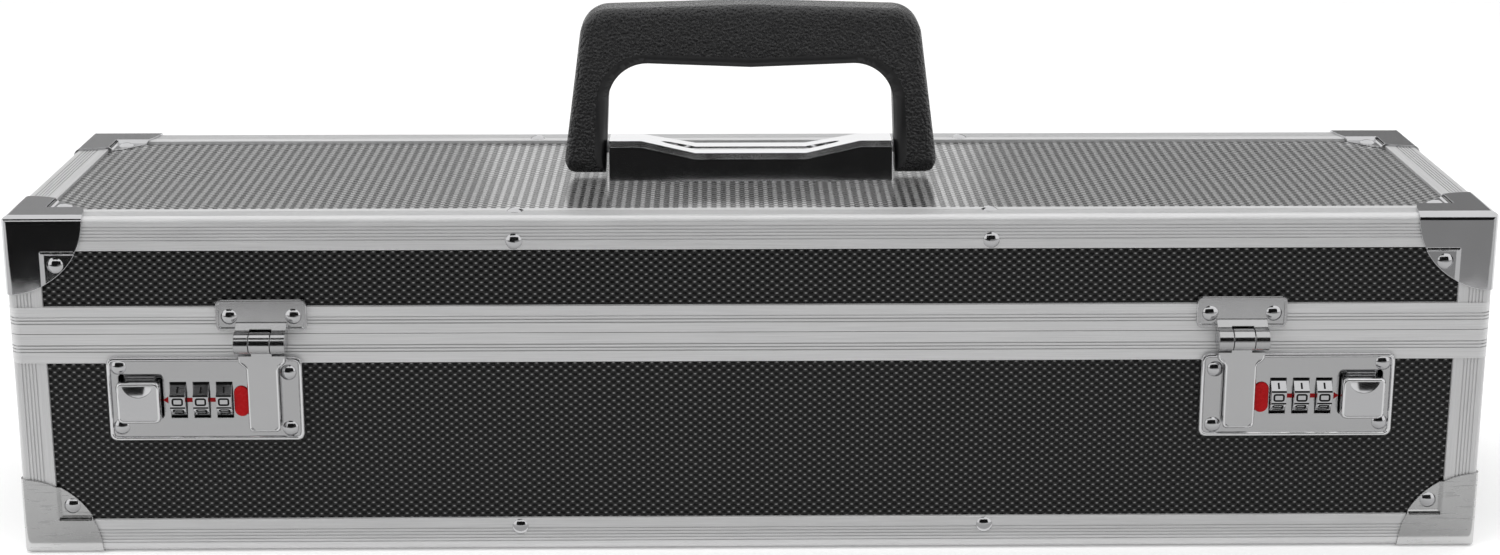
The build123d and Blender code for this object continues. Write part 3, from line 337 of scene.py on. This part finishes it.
aluminium_x = drawn_aluminium_look("drawn_aluminium_x", (0.02, 1, 1), 0.70)
aluminium_y = drawn_aluminium_look("drawn_aluminium_y", (1, 0.02, 1), 0.63)
aluminium_z = drawn_aluminium_look("drawn_aluminium_z", (1, 1, 0.02), 0.68)
aluminium_round = drawn_aluminium_look("drawn_aluminium_round", (0.02, 0.02, 1.6), 0.72)
for half in ("lid", "base"):
    paint(f"{half}_front_extrusion", aluminium_x)
    paint(f"{half}_back_extrusion", aluminium_x)
    paint(f"{half}_left_extrusion", aluminium_y)
    paint(f"{half}_right_extrusion", aluminium_y)
    paint(f"{half}_corner_posts", aluminium_z)
    paint(f"{half}_rim", aluminium_round)


# Corner caps: drawn from thin steel sheet, stepped down from the frame to the panels, chromed and
# held by three rivets each. The lower four carry the fine scuffs of standing on tables.


def plated_look(name, tone, rough, ripple_mm=0.0, scuffs=0.0, edge_mm=0.3):
    """Plated metal whose gloss varies softly, with faint polishing marks, ripples and scuffs."""
    material, tree, surface = finish_look(name, Metallic=1.0)
    where = place_of(tree)
    cloud = noise(tree, where, 0.12)
    marks = noise(tree, where, 1.6, (1, 1, 3), 6.0)
    tinted(tree, surface, cloud, tuple(0.93 * part for part in tone), tone)
    gloss = spread(tree, mostly(tree, cloud, marks), *rough)
    if scuffs:
        threads = noise(tree, where, 0.7, (0.15, 0.15, 1.4), 7.0)
        limits = {"Value": threads, "From Min": 0.56, "From Max": 0.66, "To Max": scuffs}
        rubbed = add(tree, "ShaderNodeMapRange", limits).outputs[0]
        gloss = maths(tree, "ADD", gloss, rubbed)
    tree.links.new(gloss, surface.inputs["Roughness"])
    waves = maths(tree, "MULTIPLY", noise(tree, where, 0.11, detail=1.0), ripple_mm)
    height = maths(tree, "ADD", waves, maths(tree, "MULTIPLY", marks, 0.004))
    bumped(tree, surface, height, 1.0, edge_mm)
    return material


def softened(node, body, slot, edge_mm, *looks, segments=2):
    """A copy of a CAD node with its sharp edges softened, standing for the node."""
    made = bpy.data.objects.new(f"{node}_finished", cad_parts[node].data.copy())
    scene.collection.objects.link(made)
    shape = bmesh.new()
    shape.from_mesh(made.data)
    bmesh.ops.remove_doubles(shape, verts=shape.verts, dist=1e-6)
    bmesh.ops.dissolve_limit(shape, angle_limit=math.radians(0.8), verts=shape.verts, edges=shape.edges)
    shape.to_mesh(made.data)
    shape.free()
    made.data.materials.clear()
    for look in looks:
        made.data.materials.append(look)
    if edge_mm:
        soften = made.modifiers.new("soft_edges", "BEVEL")
        soften.width = edge_mm * MM
        soften.segments = segments
        soften.limit_method = "ANGLE"
        soften.angle_limit = math.radians(32)
        soften.miter_outer = "MITER_ARC"
    made.data.shade_smooth()
    smooth = made.modifiers.new("smooth", "WEIGHTED_NORMAL")
    smooth.keep_sharp = True
    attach(made, body)
    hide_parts(node)
    return made


bright_chrome = (0.62, 0.62, 0.63)
cap_plate = plated_look("cap_plate", bright_chrome, (0.05, 0.09), ripple_mm=0.05)
worn_chrome = (0.60, 0.60, 0.60)
worn_cap_plate = plated_look("worn_cap_plate", worn_chrome, (0.16, 0.26), ripple_mm=0.04, scuffs=0.3)
paint("lid_corner_caps", cap_plate)
paint("base_corner_caps", worn_cap_plate)


# Rivets: domed steel tubes, chromed like the caps. They are set from outside through the caps,
# extrusions, hinges and latches, and each is spun anew here from the outline of its solid.
rivet_plate = plated_look("rivet_plate", bright_chrome, (0.08, 0.14), edge_mm=0.15)
head_rings = 7
head_sides = 28
head_edge_share = 0.98
shank_end_slack = 0.02 * MM
rivet_crease = math.radians(40)
case_middle = Vector((0, 0, 60 * MM))


def loose_parts(mesh):
    """The points of each separate solid of a mesh."""
    shape = bmesh.new()
    shape.from_mesh(mesh)
    bmesh.ops.remove_doubles(shape, verts=shape.verts, dist=1e-6)
    left = set(shape.verts)
    parts = []
    while left:
        reached = [left.pop()]
        part = []
        while reached:
            vert = reached.pop()
            part.append(vert.co.copy())
            for edge in vert.link_edges:
                other = edge.other_vert(vert)
                if other in left:
                    left.remove(other)
                    reached.append(other)
        parts.append(part)
    shape.free()
    return parts


def way_out(points):
    """The middle of a rivet's box and the way that its head faces: across the two equal sides."""
    low = Vector([min(point[axis] for point in points) for axis in range(3)])
    high = Vector([max(point[axis] for point in points) for axis in range(3)])
    size = high - low
    unequal = [abs(size[(axis + 1) % 3] - size[(axis + 2) % 3]) for axis in range(3)]
    axis = unequal.index(min(unequal))
    middle = (low + high) / 2
    out = Vector((0, 0, 0))
    out[axis] = 1 if middle[axis] > case_middle[axis] else -1
    return middle, out


def domed_rivets(node, body):
    """The rivets of a CAD node, each spun from its own outline: a shallow dome on a shank."""

    def fill(shape):
        for points in loose_parts(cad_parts[node].data):
            middle, out = way_out(points)
            heights = [(point - middle).dot(out) for point in points]
            spans = [((point - middle) - out * height).length for point, height in zip(points, heights)]
            head = max(spans)
            at_edge = [height for height, span in zip(heights, spans) if span > head_edge_share * head]
            seat = max(at_edge)
            shank_end = min(heights)
            last = shank_end + shank_end_slack
            shank = max(span for height, span in zip(heights, spans) if height < last)
            rise = max(heights) - seat
            ball = (head * head + rise * rise) / (2 * rise)
            outline = []
            for ring in range(head_rings + 1):
                angle = math.asin(head / ball) * ring / head_rings
                outline.append((ball * math.sin(angle), seat + rise - ball + ball * math.cos(angle)))
            outline += [(shank, seat), (shank, shank_end), (0, shank_end)]
            corners = [shape.verts.new((span, 0, height)) for span, height in outline]
            sides = [shape.edges.new(pair) for pair in zip(corners, corners[1:])]
            known = set(shape.verts) - set(corners)
            bmesh.ops.spin(
                shape,
                geom=corners + sides,
                cent=(0, 0, 0),
                axis=(0, 0, 1),
                dvec=(0, 0, 0),
                angle=2 * math.pi,
                steps=head_sides,
                use_merge=True,
            )
            made = [vert for vert in shape.verts if vert not in known]
            turn = Vector((0, 0, 1)).rotation_difference(out).to_matrix()
            bmesh.ops.rotate(shape, cent=(0, 0, 0), matrix=turn, verts=made)
            bmesh.ops.translate(shape, vec=middle, verts=made)
        bmesh.ops.remove_doubles(shape, verts=shape.verts, dist=1e-6)
        bmesh.ops.recalc_face_normals(shape, faces=shape.faces)

    made = new_object(f"{node}_domed", fill)
    made.data.materials.append(rivet_plate)
    made.data.shade_smooth()
    made.data.set_sharp_from_angle(angle=rivet_crease)
    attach(made, body)
    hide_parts(node)


domed_rivets("base_rivets", "base")
domed_rivets("lid_rivets", "lid")


# Handle bracket: a pressed and chromed channel with a dipped middle, riveted through the lid into
# a plain zinc plate. The steel pins at its ends carry the grip.
bracket_plate = plated_look("bracket_plate", (0.90, 0.90, 0.91), (0.07, 0.12))
zinc_plate = plated_look("zinc_plate", (0.50, 0.50, 0.52), (0.30, 0.42))
paint("handle_bracket", bracket_plate)
paint("handle_backing_plate", zinc_plate)
paint("handle_pins", zinc_plate)


# Grip: one black plastic moulding with a leather grain, which stops at the smooth bevel round the
# hand opening. It turns on the two steel pins of its bracket.
opening_middle = Vector((0, 0, 143 * MM))
opening_half_width = 55.8 * MM
opening_top = 165 * MM
facing_in = 0.2


def moulded_look(name, grain_depth, rough):
    """Black plastic with a pebbled grain."""
    material, tree, surface = finish_look(name, Metallic=0.0)
    surface.inputs["Specular IOR Level"].default_value = 0.7
    where = place_of(tree)
    cell = {"Vector": where, "Scale": 1.1, "Randomness": 1.0}
    pebbles = add(tree, "ShaderNodeTexVoronoi", cell, feature="SMOOTH_F1")
    fine = noise(tree, where, 1.5)
    height = maths(tree, "SUBTRACT", maths(tree, "MULTIPLY", fine, 0.5), pebbles.outputs["Distance"])
    bumped(tree, surface, height, grain_depth)
    tinted(tree, surface, fine, (0.002, 0.002, 0.0025), (0.006, 0.006, 0.007))
    tree.links.new(spread(tree, fine, *rough), surface.inputs["Roughness"])
    return material


grained_grip = moulded_look("grained_grip", 0.95, (0.20, 0.32))
smooth_grip = moulded_look("smooth_grip", 0.02, (0.38, 0.46))
grip = softened("handle_grip", "handle", "grip_plastic", 0.0, grained_grip, smooth_grip)
for face in grip.data.polygons:
    inwards = opening_middle - face.center
    inwards.y = 0
    beside_opening = abs(face.center.x) < opening_half_width and face.center.z < opening_top
    if beside_opening and face.normal.dot(inwards.normalized()) > facing_in:
        face.material_index = 1


# Back hinges: plated steel leaves cut from sheet and rolled round a zinc-plated pin. One leaf of
# each pair is riveted to the rim of the base and one to the rim of the lid.
hinge_plate = plated_look("hinge_plate", (0.52, 0.52, 0.52), (0.16, 0.26))
for side in ("left", "right"):
    paint(f"hinge_base_leaf_{side}", hinge_plate)
    paint(f"hinge_lid_leaf_{side}", hinge_plate)
paint("hinge_pins", zinc_plate)


# Latches: pressed and satin plated steel. Each lock plate has a raised edge and windows for three
# number dials and the slide button, and the hasp hangs on a bracket that is riveted to the lid.
# Thin bars stand for the rounded edges of the pressings; their much lighter plating is a painted
# highlight.
latch_plate = plated_look("latch_plate", (0.53, 0.53, 0.535), (0.12, 0.20))
hasp_plate = plated_look("hasp_plate", (0.57, 0.57, 0.575), (0.10, 0.17))
button_plate = plated_look("button_plate", (0.63, 0.63, 0.64), (0.15, 0.23))
# Painted highlight: the edge bars are plated far lighter than the plates they edge.
painted_edge_highlight = plated_look("painted_edge_highlight", (0.93, 0.93, 0.94), (0.08, 0.13), edge_mm=0.0)

# Each edge is its distance in front, the radius of its bar and the cut at its corners. These and
# the corners of the faces are in millimetres.
lock_plate_edge = (61.5, 0.9, 1.8)
bracket_edge = (61.1, 0.8, 1.2)
button_edge = (64.95, 0.8, 1.1)
hasp_edge = (63.95, 0.6, 1.0)
lock_plate_edge_inset = 0.45
bracket_face = [(150.6, 81.4), (179.8, 81.4), (179.8, 91.0), (150.6, 91.0)]
button_face = [(200.6, 49.9), (213.8, 49.9), (213.8, 62.9), (200.6, 62.9)]
tongue_inner = [(157.7, 71.8), (157.8, 70.2), (160.4, 68.6), (160.4, 46.1)]
tongue_outer = [(170.0, 46.1), (170.0, 68.6), (172.6, 70.2), (172.7, 71.8)]
corner_bulge = 0.29


def eased_path(points, cut):
    """The points of a line with each corner rounded by two cuts."""
    closed = points[0] == points[-1]
    ring = points[:-1] if closed else points
    eased = []
    for number, point in enumerate(ring):
        before, after = ring[number - 1], ring[(number + 1) % len(ring)]
        if not closed and number in (0, len(ring) - 1):
            eased.append(point)
            continue
        back, ahead = (before - point).normalized(), (after - point).normalized()
        eased.append(point + back * cut)
        eased.append(point + (back + ahead) * corner_bulge * cut)
        eased.append(point + ahead * cut)
    return eased, closed


def drawn_lines(name, paths, radius, look, body, rounds=2):
    """Bars along paths, round or four-sided, as one mesh that rides on a body."""
    line = bpy.data.curves.new(name, "CURVE")
    line.dimensions = "3D"
    line.bevel_depth = radius
    line.bevel_resolution = rounds
    line.use_fill_caps = True
    for points, closed in paths:
        spline = line.splines.new("POLY")
        spline.points.add(len(points) - 1)
        for held, point in zip(spline.points, points):
            held.co = (*point, 1)
        spline.use_cyclic_u = closed
    drawn = bpy.data.objects.new(name, line)
    scene.collection.objects.link(drawn)
    bpy.context.view_layer.update()
    mesh = bpy.data.meshes.new_from_object(drawn)
    bpy.data.objects.remove(drawn)
    made = bpy.data.objects.new(name, mesh)
    scene.collection.objects.link(made)
    mesh.materials.clear()
    mesh.materials.append(look)
    if rounds:
        mesh.shade_smooth()
    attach(made, body)


def rolled_edge(name, way, corners, edge, body, closed=True):
    """The sloped rim of a sheet part: its corners are given outwards and up, in millimetres."""
    depth, radius, cut = edge
    points = [Vector((way * x, -depth, z)) * MM for x, z in corners]
    if closed:
        points.append(points[0])
    path = eased_path(points, cut * MM)
    drawn_lines(name, [path], radius * MM, painted_edge_highlight, body, rounds=0)


def corners_of(node, inset):
    """The four corners of a sheet part's face, drawn in from its edge."""
    low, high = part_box(node)
    near, far = sorted((abs(low.x) / MM, abs(high.x) / MM))
    foot, top = low.z / MM + inset, high.z / MM - inset
    return [(near + inset, foot), (far - inset, foot), (far - inset, top), (near + inset, top)]


for side, way in (("left", -1), ("right", 1)):
    plate_face = corners_of(f"lock_plate_{side}", lock_plate_edge_inset)
    rolled_edge(f"lock_plate_rim_{side}", way, plate_face, lock_plate_edge, "base")
    rolled_edge(f"hasp_bracket_rim_{side}", way, bracket_face, bracket_edge, "lid")
    rolled_edge(f"slide_button_rim_{side}", way, button_face, button_edge, f"slide_button_{side}")
    tongue = tongue_inner + tongue_outer
    rolled_edge(f"hasp_rim_{side}", way, tongue, hasp_edge, f"hasp_{side}", closed=False)
    paint(f"lock_plate_{side}", latch_plate)
    paint(f"hasp_{side}", hasp_plate)
    paint(f"hasp_bracket_{side}", latch_plate)
    paint(f"slide_button_{side}", button_plate)
    paint(f"lock_body_{side}", zinc_plate)
paint("dial_axles", zinc_plate)
paint("dial_springs", zinc_plate)
paint("hasp_pins", zinc_plate)


# Number dials: ten-sided chromed wheels. Each flat carries a number from 0 to 9 in black paint, and
# a black bar sunk along each corner between two flats is painted shade for the groove there.
dial_corner_radius = 6.9 * MM
dial_flats = 10
number_half_width = 1.62 * MM
number_half_height = 1.08 * MM
stroke_radius = 0.44 * MM
stroke_proud = 0.18 * MM
corner_cut = 0.5 * MM
line_radius = 0.36 * MM
line_sunk = 0.18 * MM
line_half_length = 2.5 * MM
strokes_of = {
    0: "ABFEA",
    1: "GH",
    2: "ABDCEF",
    3: "ABFE CD",
    4: "ACD BF",
    5: "BACDFE",
    6: "BAEFDC",
    7: "ABF",
    8: "ABFEA CD",
    9: "DCABFE",
}
stroke_places = {
    "A": (-1, 1),
    "B": (1, 1),
    "C": (-1, 0),
    "D": (1, 0),
    "E": (-1, -1),
    "F": (1, -1),
    "G": (0, 1),
    "H": (0, -1),
}


def enamel_look(name, dark, light, rough):
    """Thin paint or moulded plastic with a soft unevenness."""
    material, tree, surface = finish_look(name)
    surface.inputs["Specular IOR Level"].default_value = 0.12
    where = place_of(tree)
    tinted(tree, surface, noise(tree, where, 0.9), dark, light)
    tree.links.new(spread(tree, noise(tree, where, 0.8), *rough), surface.inputs["Roughness"])
    bumped(tree, surface, noise(tree, where, 1.2), 0.01)
    return material


# One black serves the printed numbers and the painted shade of the corner grooves.
black_print_and_groove_shade = enamel_look("black_print_and_groove_shade", (0.003, 0.003, 0.003), (0.008, 0.008, 0.008), (0.45, 0.6))
dial_plate = plated_look("dial_plate", (0.57, 0.57, 0.58), (0.10, 0.16), edge_mm=0.2)
for side in ("left", "right"):
    for dial in (1, 2, 3):
        node = f"dial_{side}_{dial}"
        paint(node, dial_plate)
        low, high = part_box(node)
        middle = (low + high) / 2
        flat_radius = dial_corner_radius * math.cos(math.pi / dial_flats)
        number_paths = []
        groove_shade_paths = []
        for number, strokes in strokes_of.items():
            angle = number * 2 * math.pi / dial_flats
            outwards = Vector((0, -math.cos(angle), math.sin(angle)))
            upwards = Vector((0, math.sin(angle), math.cos(angle)))
            flat_middle = middle + outwards * (flat_radius + stroke_proud - stroke_radius)
            for stroke in strokes.split():
                points = []
                for letter in stroke:
                    across, up = stroke_places[letter]
                    aside = Vector((across * number_half_width, 0, 0))
                    points.append(flat_middle + aside + upwards * up * number_half_height)
                number_paths.append(eased_path(points, corner_cut))
            # Painted shade: a black bar sunk into the corner between two flats stands for the dark
            # groove.
            half_step = angle + math.pi / dial_flats
            corner_way = Vector((0, -math.cos(half_step), math.sin(half_step)))
            corner = middle + corner_way * (dial_corner_radius - line_sunk)
            aside = Vector((line_half_length, 0, 0))
            groove_shade_paths.append(([corner - aside, corner + aside], False))
        drawn_lines(f"{node}_numbers", number_paths, stroke_radius, black_print_and_groove_shade, node)
        drawn_lines(f"{node}_lines", groove_shade_paths, line_radius, black_print_and_groove_shade, node)


# Red marks: the line between neighbouring dials that the numbers are set to, and an arrow on the
# outer side, printed on the lock plate.
red_paint = enamel_look("red_paint", (0.28, 0.004, 0.006), (0.36, 0.006, 0.008), (0.35, 0.5))
mark_face = -61.5 * MM
mark_thickness = 0.06 * MM
index_line_size = (2.15 * MM, 1.5 * MM)
index_arrow_size = (1.8 * MM, 2.5 * MM)
arrow_offset = 4.1 * MM


def printed_mark(name, corners, size, middle, turn):
    """A flat printed shape with a number of corners, set on the face of the lock plate."""

    def fill(shape):
        bmesh.ops.create_circle(shape, cap_ends=True, segments=corners, radius=1)
        bmesh.ops.rotate(shape, cent=(0, 0, 0), matrix=Matrix.Rotation(turn, 3, "Z"), verts=shape.verts)
        across, up = (
            max(vert.co[axis] for vert in shape.verts) - min(vert.co[axis] for vert in shape.verts)
            for axis in (0, 1)
        )
        bmesh.ops.scale(shape, vec=(size[0] / across, size[1] / up, 1), verts=shape.verts)
        raised = bmesh.ops.extrude_face_region(shape, geom=list(shape.faces))["geom"]
        moved = [item for item in raised if isinstance(item, bmesh.types.BMVert)]
        bmesh.ops.translate(shape, vec=(0, 0, mark_thickness), verts=moved)
        upright = Matrix.Rotation(math.pi / 2, 3, "X")
        bmesh.ops.rotate(shape, cent=(0, 0, 0), matrix=upright, verts=shape.verts)
        bmesh.ops.translate(shape, vec=middle, verts=shape.verts)
        bmesh.ops.recalc_face_normals(shape, faces=shape.faces)

    made = new_object(name, fill)
    made.data.materials.append(red_paint)
    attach(made, "base")


for side, way in (("left", -1), ("right", 1)):
    places = []
    for dial in (1, 2, 3):
        low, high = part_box(f"dial_{side}_{dial}")
        places.append((low + high) / 2)
    places.sort(key=lambda place: abs(place.x))
    level = places[0].z
    for number in (1, 2):
        across = (places[number - 1].x + places[number].x) / 2
        spot = (across, mark_face, level)
        printed_mark(f"index_line_{side}_{number}", 4, index_line_size, spot, math.pi / 4)
    tip = (places[2].x + way * arrow_offset, mark_face, level)
    printed_mark(f"index_arrow_{side}", 3, index_arrow_size, tip, -way * math.pi / 2)


# Code buttons: small red plastic capsules, moulded in one piece with the flange that keeps each
# behind its lock plate. They are pushed in with a point to set the code.
red_plastic = enamel_look("red_capsule", (0.33, 0.003, 0.005), (0.42, 0.005, 0.007), (0.22, 0.32))
for side in ("left", "right"):
    softened(f"code_button_{side}", f"code_button_{side}", "red_plastic", 0.5, red_plastic, segments=4)


# Foam pads: cut from polyurethane foam. The base pad is plain with rounded edges, and the pad in
# the lid is cut in waves that hold the knives down. Both are formed by moving points in code.


def foam_look(name, tone):
    """Open-celled foam of one grey, with a cloudy unevenness and painted shade darkening its pores."""
    material, tree, surface = finish_look(name, Roughness=0.95)
    surface.inputs["Specular IOR Level"].default_value = 0.15
    where = place_of(tree)
    cell = {"Vector": where, "Scale": 1.6, "Randomness": 1.0}
    pores = add(tree, "ShaderNodeTexVoronoi", cell, feature="F1").outputs["Distance"]
    cloud = noise(tree, where, 0.05)
    height = maths(tree, "ADD", pores, maths(tree, "MULTIPLY", cloud, 0.6))
    # Painted shade: the colour follows the relief, darker down in the pores.
    tinted(tree, surface, height, (0.5 * tone, 0.5 * tone, 0.5 * tone), (tone, tone, tone))
    bumped(tree, surface, height, 0.5)
    return material


foam = foam_look("grey_foam", 0.16)
foam_step = 2.2 * MM
foam_ease = 3.5 * MM
foam_face_share = 0.2
foam_sink = 0.3 * MM
foam_gap = 0.4 * MM


def foam_pad(name, node, body, facing, wave_depth, wave_pitch):
    """A foam block with eased edges, whose open face may be cut in waves."""
    low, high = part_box(node)
    middle = (low + high) / 2
    size = high - low

    def fill(shape):
        cells = [max(2, round(side / foam_step)) for side in size[:2]]
        bmesh.ops.create_grid(shape, x_segments=cells[0], y_segments=cells[1], size=0.5)
        bmesh.ops.scale(shape, vec=(size.x, size.y, 1), verts=shape.verts)
        skirt = [edge for edge in shape.edges if edge.is_boundary]
        for reach in (0.45, 0.5):
            made = bmesh.ops.extrude_edge_only(shape, edges=skirt)["geom"]
            dropped = [item for item in made if isinstance(item, bmesh.types.BMVert)]
            edges = [item for item in made if isinstance(item, bmesh.types.BMEdge)]
            skirt = [edge for edge in edges if edge.is_boundary]
            bmesh.ops.translate(shape, vec=(0, 0, -reach * size.z), verts=dropped)
        bmesh.ops.holes_fill(shape, edges=skirt, sides=0)
        for vert in shape.verts:
            side_gap = min(size.x / 2 - abs(vert.co.x), size.y / 2 - abs(vert.co.y))
            if vert.co.z > -foam_face_share * size.z:
                near = max(0.0, 1 - side_gap / foam_ease)
                turns = 2 * math.pi / wave_pitch
                wave = math.cos(turns * vert.co.x) * math.cos(turns * vert.co.y)
                sunk = wave_depth * (0.5 - 0.5 * wave) * min(1.0, side_gap / (2 * foam_ease))
                eased = foam_ease * (1 - math.sqrt(max(0.0, 1 - near * near)))
                vert.co.z -= sunk + eased + foam_sink
            vert.co.x *= 1 - foam_gap / size.x
            vert.co.y *= 1 - foam_gap / size.y
        bmesh.ops.translate(shape, vec=(0, 0, size.z / 2), verts=shape.verts)
        if facing < 0:
            over = Matrix.Rotation(math.pi, 3, "X")
            bmesh.ops.rotate(shape, cent=(0, 0, 0), matrix=over, verts=shape.verts)
        bmesh.ops.translate(shape, vec=middle, verts=shape.verts)
        bmesh.ops.recalc_face_normals(shape, faces=shape.faces)

    made = new_object(name, fill)
    made.data.materials.append(foam)
    made.data.shade_smooth()
    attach(made, body)
    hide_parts(node)


foam_pad("base_foam", "base_foam_pad", "base", 1, 0.0, 20 * MM)
foam_pad("lid_foam", "lid_foam_pad", "lid", -1, 9 * MM, 24 * MM)
